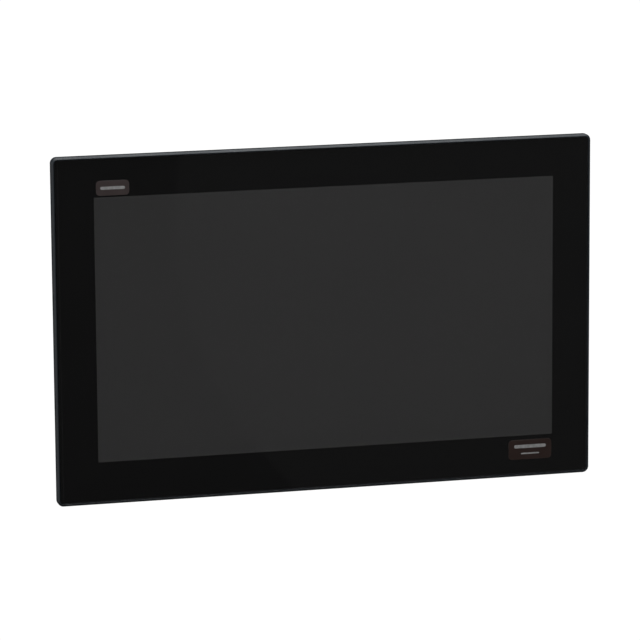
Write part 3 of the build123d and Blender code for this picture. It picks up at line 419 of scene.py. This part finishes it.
def contact_gold(look):
    return look.surface((0.83, 0.60, 0.25), 0.24, 1.0, tint=0.08, patch=1.5, grain=0.2, relief=0.002,
                        wear=(0.9, 0.74, 0.42), edge=0.05)


def lens_green(look):
    return look.surface((0.07, 0.30, 0.10), 0.2, tint=0.12, patch=1.2, grain=0.3, relief=0.004, edge=0.15)


def lens_amber(look):
    return look.surface((0.46, 0.25, 0.05), 0.2, tint=0.12, patch=1.2, grain=0.3, relief=0.004, edge=0.15)


def insulator(look):
    return look.surface((0.018, 0.018, 0.019), 0.5, tint=0.1, patch=3, grain=0.2, relief=0.006, edge=0.1)


_made = {}


def material(maker):
    """The material that this function makes, made once."""
    if maker.__name__ not in _made:
        look = Look(maker.__name__)
        _made[maker.__name__] = look.done(maker(look))
    return _made[maker.__name__]


# -------------------------------------------------------------------------- places on the CAD
def box_where(node, keep):
    """Corners of the part of a CAD node whose vertices pass a test."""
    points = [v.co for v in frame["nodes"][node].data.vertices if keep(v.co)]
    low = Vector(min(p[k] for p in points) for k in range(3))
    high = Vector(max(p[k] for p in points) for k in range(3))
    return low, high


def jack_boxes():
    low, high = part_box("ethernet_jacks")
    middle = (low.x + high.x) / 2
    left = box_where("ethernet_jacks", lambda p: p.x < middle)
    right = box_where("ethernet_jacks", lambda p: p.x > middle)
    return [left, right]


def jack_cores():
    """The plastic inside each network jack's thin metal shield."""
    skin = Vector((JACK_SKIN, JACK_SKIN, -1)) * MM
    return [(low + skin, high - skin) for low, high in jack_boxes()]


def usb_boxes():
    """The two host ports, from left to right."""
    low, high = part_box("usb_ports")
    split, last = low.x + USB_HOST_SPAN * MM, high.x - USB_DEVICE_SPAN * MM
    first = box_where("usb_ports", lambda p: p.x < split)
    second = box_where("usb_ports", lambda p: split < p.x < last)
    return [first, second]


def usb_tongues():
    """The moulded tongue inside each host port, by the CAD's own clearances."""
    tongues = []
    for low, high in usb_boxes():
        inner_low = Vector((low.x + USB_GAP * MM, low.y + USB_TONGUE_DEPTH * MM, low.z))
        inner_high = Vector((high.x - USB_GAP * MM, high.y - USB_GAP * MM, high.z))
        tongues.append((inner_low, inner_high))
    return tongues


def serial_centre():
    low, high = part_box("serial_port")
    return Vector(((low.x + high.x) / 2, SERIAL_Y * MM, low.z + SERIAL_REACH * MM))


def serial_core():
    """Round the nine pins, inside the connector's metal surround."""
    half = Vector(SERIAL_PINS) * MM
    return serial_centre() - half, serial_centre() + half


# ------------------------------------------------------------------------------ meshes to add
def piece(name, points, faces, maker, body, slot=None):
    """A mesh given in metres in the row frame, riding on a CAD body."""
    mesh = bpy.data.meshes.new(name)
    mesh.from_pydata([tuple(p) for p in points], [], faces)
    mesh.validate()
    outward = bmesh.new()
    outward.from_mesh(mesh)
    bmesh.ops.recalc_face_normals(outward, faces=outward.faces)
    outward.to_mesh(mesh)
    outward.free()
    mesh.materials.append(material(maker))
    made = bpy.data.objects.new(name, mesh)
    bpy.context.scene.collection.objects.link(made)
    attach(made, body)
    return made


def pass_light(made):
    """Lets lamp light and bounced light through, as layers glued to the glass don't shade the display."""
    made.visible_shadow = False
    made.visible_diffuse = False


def rounded_outline(x, z, width, height, radius, steps=6):
    """Corner points of a rounded rectangle in X and Z, anticlockwise seen from the front."""
    corners = []
    for quarter, (sx, sz) in enumerate(((1, 1), (-1, 1), (-1, -1), (1, -1))):
        centre = (x + sx * (width / 2 - radius), z + sz * (height / 2 - radius))
        for k in range(steps + 1):
            angle = FULL_TURN * (quarter + k / steps) / 4
            corners.append((centre[0] + radius * math.cos(angle), centre[1] + radius * math.sin(angle)))
    return corners


def rows_to_mesh(rows):
    """Points and faces of a closed skin through rings of equal length, capped at its first and last."""
    count = len(rows[0])
    points = [p for row in rows for p in row]
    faces = []
    for r in range(len(rows) - 1):
        for k in range(count):
            after = (k + 1) % count
            faces.append((r * count + k, r * count + after, (r + 1) * count + after, (r + 1) * count + k))
    last = (len(rows) - 1) * count
    faces.append(tuple(reversed(range(count))))
    faces.append(tuple(range(last, last + count)))
    return points, faces


def joined(parts):
    """Several (points, faces) as one."""
    points, faces = [], []
    for more_points, more_faces in parts:
        start = len(points)
        points += more_points
        faces += [tuple(start + k for k in face) for face in more_faces]
    return points, faces


def flat_bar(x, z, width, height, near, far, radius):
    """A thin printed bar between two depths, with a softened front edge. All in metres."""
    soft = min(0.02 * MM, abs(far - near) / 2)
    shoulder = near + math.copysign(soft, far - near)
    outer = rounded_outline(x, z, width, height, radius)
    inner = rounded_outline(x, z, width - 2 * soft, height - 2 * soft, radius - soft)
    rings = [
        [(px, far, pz) for px, pz in outer],
        [(px, shoulder, pz) for px, pz in outer],
        [(px, near, pz) for px, pz in inner],
    ]
    return rows_to_mesh(rings)


def brick(low, high, soft=0.08):
    """A block with chamfered upright edges and ends, between two corners in metres."""
    cut = soft * MM
    middle = (Vector(low) + Vector(high)) / 2
    size = Vector(high) - Vector(low)
    rings = []
    for y, inset in ((low[1], cut), (low[1] + cut, 0), (high[1] - cut, 0), (high[1], cut)):
        outline = rounded_outline(middle.x, middle.z, size.x - 2 * inset, size.z - 2 * inset, cut, 2)
        rings.append([(px, y, pz) for px, pz in outline])
    return rows_to_mesh(rings)


# ------------------------------------------------------------------------------ visible extras
def badge_bars():
    """Plain printed bars on the two plates, in place of any words."""
    bars = []
    left = box_where("badge_plates", lambda p: p.x < 0)
    right = box_where("badge_plates", lambda p: p.x > 0)
    for (low, high), rows in ((left, LEFT_PLATE_BARS), (right, RIGHT_PLATE_BARS)):
        size = high - low
        middle = (low + high) / 2
        near, far = low.y - 0.04 * MM, low.y + 0.01 * MM
        for rise, share, thick in rows:
            height = thick * size.z
            z = middle.z + rise * size.z
            bars.append(flat_bar(middle.x, z, share * size.x, height, near, far, height * 0.45))
    pass_light(piece("badge_bars", *joined(bars), print_grey, "panel", "badge_foil"))


def label_bars():
    """Rows of plain bars, two frame lines and a block of cells printed on the blank rear label."""
    low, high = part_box("rating_label")
    size = high - low
    near, far = high.y + 0.03 * MM, high.y - 0.01 * MM
    bars = []
    for row, share in enumerate(LABEL_ROWS):
        width = share * size.x
        z = high.z - (LABEL_ROW_TOP + LABEL_ROW_PITCH * row) * size.z
        x = high.x - 0.08 * size.x - width / 2
        bars.append(flat_bar(x, z, width, 0.055 * size.z, near, far, 0.3 * MM))
    for edge in (0.098, 0.882):
        z = low.z + edge * size.z
        bars.append(flat_bar((low.x + high.x) / 2, z, 0.92 * size.x, 0.3 * MM, near, far, 0.1 * MM))
    cell = LABEL_CELL * MM
    for k in range(LABEL_CELLS):
        for m in range(LABEL_CELLS):
            if (k + m) % 2 == 0:
                x = low.x + (0.09 + 0.034 * k) * size.x
                z = low.z + (0.30 + 0.055 * m) * size.z
                bars.append(flat_bar(x, z, cell, cell, near, far, 0.1 * MM))
    piece("label_bars", *joined(bars), print_black, "panel", "label_silver")


def clip_thread(number):
    """A clip's set screw with its real thread, hexagon socket and nose."""
    node = f"clip_screw_{number}"
    low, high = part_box(node)
    axis_x, axis_z = (low.x + high.x) / 2 / MM, (low.z + high.z) / 2 / MM
    nose, back = low.y / MM, high.y / MM

    def ring(y, radius):
        return [(axis_x + radius(k) * math.cos(FULL_TURN * k / SCREW_COLUMNS), y,
                 axis_z + radius(k) * math.sin(FULL_TURN * k / SCREW_COLUMNS)) for k in range(SCREW_COLUMNS)]

    def hexagon(k):
        return KEY_FLAT / math.cos((FULL_TURN * k / SCREW_COLUMNS) % (FULL_TURN / 6) - FULL_TURN / 12)

    def thread(y):
        from_end = min(y - nose - NOSE_L, back - y)
        limit = THREAD_ROOT_R - 0.05 + from_end

        def radius(k):
            phase = (y / THREAD_PITCH + k / SCREW_COLUMNS) % 1.0
            crest = min(1.0, max(0.0, 1.5 - 4 * abs(phase - 0.5)))
            return min(limit, THREAD_ROOT_R + (THREAD_R - THREAD_ROOT_R) * crest)

        return radius

    socket_floor = back - KEY_DEPTH
    rows = [ring(socket_floor, lambda k: hexagon(k) * 0.02), ring(socket_floor, hexagon), ring(back, hexagon)]
    length = back - nose - NOSE_L
    count = round(length / THREAD_PITCH * ROWS_PER_PITCH)
    depths = [back - length * r / count for r in range(count + 1)]
    rows += [ring(y, thread(y)) for y in depths]
    rows += [ring(y, lambda k: NOSE_R) for y in (nose + NOSE_L, nose + NOSE_CHAMFER)]
    rows.append(ring(nose, lambda k: NOSE_R - NOSE_CHAMFER))
    rows = [[Vector(p) * MM for p in row] for row in rows]
    made = piece(f"clip_thread_{number}", *rows_to_mesh(rows), screw_steel, node, "screw_steel")
    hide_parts(node)


def jack_details():
    """Spring contacts and the two lamp lenses of each network jack."""
    wires, green, amber = [], [], []
    for low, high in jack_boxes():
        x = (low.x + high.x) / 2
        start, end = [(low.y + y * MM, low.z + z * MM) for y, z in (CONTACT_START, CONTACT_END)]
        for k in range(CONTACT_COUNT):
            middle = x + (k - (CONTACT_COUNT - 1) / 2) * CONTACT_PITCH * MM
            wires.append(spring(middle - CONTACT_W / 2 * MM, CONTACT_W * MM, start, end, CONTACT_T * MM))
        for side, lenses in ((-1, green), (1, amber)):
            left = x + (side * LENS_OFFSET - LENS_W / 2) * MM
            lens_low = Vector((left, low.y + LENS_Y[0] * MM, low.z + LENS_Z[0] * MM))
            lens_high = Vector((left + LENS_W * MM, low.y + LENS_Y[1] * MM, low.z + LENS_Z[1] * MM))
            lenses.append(brick(lens_low, lens_high, 0.15))
    piece("jack_contacts", *joined(wires), contact_gold, "panel", "plated_steel")
    piece("jack_lenses_green", *joined(green), lens_green, "panel")
    piece("jack_lenses_amber", *joined(amber), lens_amber, "panel")


def spring(left, width, start, end, thick):
    """A bent flat spring from one (y, z) point to another, as one closed skin."""
    run, rise = end[0] - start[0], end[1] - start[1]
    first_bend = (start[0] + 0.25 * run, start[1] + 0.10 * rise)
    second_bend = (start[0] + 0.7 * run, start[1] + 0.6 * rise)
    rings = []
    for y, z in (start, first_bend, second_bend, end):
        near = [(left, y, z), (left + width, y, z)]
        far = [(left + width, y + thick, z), (left, y + thick, z)]
        rings.append(near + far)
    return rows_to_mesh(rings)


def usb_contacts():
    """Four gilt strips on the wide side of each host port's tongue."""
    strips = []
    for low, high in usb_boxes():
        x = (low.x + high.x) / 2
        tongue = low.y + (USB_TONGUE_DEPTH + 0.1) * MM
        for offset in USB_CONTACTS_X:
            corner = Vector((x + (offset - 0.5) * MM, tongue - 0.12 * MM, low.z + 1.6 * MM))
            strips.append(brick(corner, corner + Vector(USB_CONTACT_SIZE) * MM, 0.04))
    piece("usb_contacts", *joined(strips), contact_gold, "panel", "plated_steel")


def serial_insulator():
    """The moulded face that the serial port's pins stand in."""
    centre = serial_centre()
    bottom, top, half_h = SERIAL_BOTTOM_W / 2 * MM, SERIAL_TOP_W / 2 * MM, SERIAL_FACE_H / 2 * MM
    outline = [(-bottom, -half_h), (bottom, -half_h), (top, half_h), (-top, half_h)]
    face = centre.z + SERIAL_FACE_RISE * MM
    rings = []
    for z, inset in ((face + 0.6 * MM, 0.0), (face + 0.15 * MM, 0.0), (face, 0.15 * MM)):
        rings.append([(centre.x + x - math.copysign(inset, x), centre.y + y - math.copysign(inset, y), z)
                      for x, y in outline])
    piece("serial_insulator", *rows_to_mesh(rings), insulator, "panel", "black_plastic")


def extras():
    badge_bars()
    label_bars()
    for number in range(1, 7):
        clip_thread(number)
    jack_details()
    usb_contacts()
    serial_insulator()


# --------------------------------------------------------------------------- finish on the CAD
CAD_MAKERS = (
    dark_paint, cast_cover, cover_glass, black_film, sensor_glass, display_glass, badge_foil, gasket_rubber,
    foam_tape, sheet_steel, white_plastic, optical_film, acrylic, circuit_board, chip_black,
    component_metal, polyimide, ribbon_grey, thermal_grey, heat_sink_aluminium, cell_steel,
    terminal_green, plated_steel, black_plastic, switch_white, screw_steel, label_silver, clip_zinc,
)


def paint_cad():
    """Gives every CAD node the material of its slot in the record."""
    makers = {maker.__name__: maker for maker in CAD_MAKERS}
    for part in frame["record"]["subparts"]:
        mesh = frame["nodes"][part["node"]].data
        mesh.materials.clear()
        mesh.materials.append(material(makers[part["material_slot"]]))
    for node in LAMINATED:
        pass_light(frame["nodes"][node])


# -------------------------------------------------------------------------------------- studio
def floor():
    """Pale one-sided floor: plain white to the camera, and left out of reflections and bounced light."""
    left, right, near, far, height = -6.0, 6.0, -0.6, 7.0, -0.30
    mesh = bpy.data.meshes.new("floor")
    corners = [(left, near, height), (right, near, height), (right, far, height), (left, far, height)]
    mesh.from_pydata(corners, [], [(0, 1, 2, 3)])
    look = Look("floor_white")
    path = look.add("ShaderNodeLightPath").outputs
    paper = look.noise(400, 2.0)
    white = look.add("ShaderNodeBsdfDiffuse", {0: look.mix(paper, (0.80, 0.80, 0.80), (0.84, 0.84, 0.84))})
    glow = look.add("ShaderNodeEmission", {0: (1, 1, 1), 1: WHITE_LIGHT})
    from_above = {0: path["Is Camera Ray"], 1: white.outputs[0], 2: glow.outputs[0]}
    seen = look.add("ShaderNodeMixShader", from_above)
    clear = look.add("ShaderNodeBsdfTransparent", {0: (1, 1, 1)})
    below = look.add("ShaderNodeNewGeometry").outputs["Backfacing"]
    sheet = look.add("ShaderNodeMixShader", {0: below, 1: seen.outputs[0], 2: clear.outputs[0]})
    mesh.materials.append(look.done(sheet))
    ground_edge_and_gap_shade = bpy.data.objects.new("floor", mesh)
    bpy.context.scene.collection.objects.link(ground_edge_and_gap_shade)
    ground_edge_and_gap_shade.visible_glossy = False
    ground_edge_and_gap_shade.visible_diffuse = False


def soft_box(name, place, size, power):
    """A rectangular lamp aimed at the panel."""
    data = bpy.data.lights.new(name, "AREA")
    data.shape = "RECTANGLE"
    data.size, data.size_y = size
    data.energy = power
    lamp = bpy.data.objects.new(name, data)
    lamp.location = place
    lamp.rotation_mode = "QUATERNION"
    lamp.rotation_quaternion = (-Vector(place)).to_track_quat("-Z", "Y")
    lamp.visible_camera = False
    bpy.context.scene.collection.objects.link(lamp)
    return lamp


def surroundings():
    """White to the camera. The rest sees a bright ceiling, a grey left and dim walls, darkest behind."""
    world = bpy.data.worlds.new("studio")
    bpy.context.scene.world = world
    world.use_nodes = True
    tree = world.node_tree
    tree.nodes.clear()
    add = tree.nodes.new
    link = tree.links.new

    def number(operation, a, b=0.0):
        node = add("ShaderNodeMath")
        node.operation = operation
        for socket, value in zip(node.inputs, (a, b)):
            if isinstance(value, bpy.types.NodeSocket):
                link(value, socket)
            else:
                socket.default_value = value
        return node.outputs[0]

    def slope(value, low, high, top):
        node = add("ShaderNodeMapRange")
        node.interpolation_type = "SMOOTHSTEP"
        link(value, node.inputs[0])
        for k, setting in enumerate((low, high, 0.0, top)):
            node.inputs[k + 1].default_value = setting
        return node.outputs[0]

    direction = add("ShaderNodeTexCoord").outputs["Generated"]
    axes = add("ShaderNodeSeparateXYZ")
    link(direction, axes.inputs[0])
    x, y, z = axes.outputs
    ceiling = slope(z, 0.50, 0.95, 1.55)
    light = number("ADD", DIM_LIGHT, ceiling)
    walls = slope(z, -0.30, -0.10, 0.018)
    light = number("ADD", light, walls)
    left_wall = slope(x, -0.70, -0.95, 0.62)
    light = number("ADD", light, left_wall)
    kept_behind = number("SUBTRACT", 1.0, slope(y, 0.78, 0.93, 0.88))
    light = number("MULTIPLY", light, kept_behind)
    dot = add("ShaderNodeVectorMath")
    dot.operation = "DOT_PRODUCT"
    link(direction, dot.inputs[0])
    dot.inputs[1].default_value = mirrored_view(DISC_X, DISC_Z)
    edge = math.cos(DISC_ANGLE)
    disc = slope(dot.outputs["Value"], edge - DISC_BLUR, edge + DISC_BLUR, DISC_LIGHT)
    light = number("ADD", light, disc)
    seen = add("ShaderNodeLightPath").outputs["Is Camera Ray"]
    strength = add("ShaderNodeMix")
    link(seen, strength.inputs[0])
    link(light, strength.inputs[2])
    strength.inputs[3].default_value = WHITE_LIGHT
    background = add("ShaderNodeBackground")
    background.inputs[0].default_value = (1, 1, 1, 1)
    link(strength.outputs[0], background.inputs[1])
    link(background.outputs[0], add("ShaderNodeOutputWorld").inputs[0])


def camera_axes():
    """Right, up and forward of the camera, before its roll."""
    forward = Vector((-math.sin(CAMERA_AZIMUTH) * math.cos(CAMERA_ELEVATION),
                      math.cos(CAMERA_AZIMUTH) * math.cos(CAMERA_ELEVATION), -math.sin(CAMERA_ELEVATION)))
    right = forward.cross(Vector((0, 0, 1))).normalized()
    return right, right.cross(forward), forward


def camera_place():
    return CAMERA_AIM - camera_axes()[2] * CAMERA_DISTANCE


def mirrored_view(x, z):
    """Direction in which the camera looks after the glass at (x, z) has mirrored its ray."""
    ray = (Vector((x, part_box("cover_glass")[0].y, z)) - camera_place()).normalized()
    return (ray.x, -ray.y, ray.z)


def camera():
    """Three-quarter view from slightly left of and above the panel's front."""
    right, up, forward = camera_axes()
    turn_c, turn_s = math.cos(CAMERA_ROLL), math.sin(CAMERA_ROLL)
    rolled_right = right * turn_c + up * turn_s
    rolled_up = up * turn_c - right * turn_s
    data = bpy.data.cameras.new("camera")
    data.lens = CAMERA_LENS
    data.sensor_width = SENSOR_WIDTH
    data.clip_end = 50
    eye = bpy.data.objects.new("camera", data)
    axes = Matrix((rolled_right, rolled_up, -forward)).transposed().to_4x4()
    eye.matrix_world = Matrix.Translation(camera_place()) @ axes
    bpy.context.scene.collection.objects.link(eye)
    bpy.context.scene.camera = eye


def studio():
    floor()
    soft_box("key", (0.05, -1.0, 1.75), (1.4, 0.9), 35.0)
    soft_box("rear", (-0.6, 2.0, 1.3), (1.2, 0.9), 32.0).visible_glossy = False
    soft_box("under", (0.4, 1.6, -1.0), (1.2, 0.9), 12.0).visible_glossy = False
    surroundings()
    camera()
    bpy.context.scene.view_settings.view_transform = "Standard"


paint_cad()
extras()
studio()
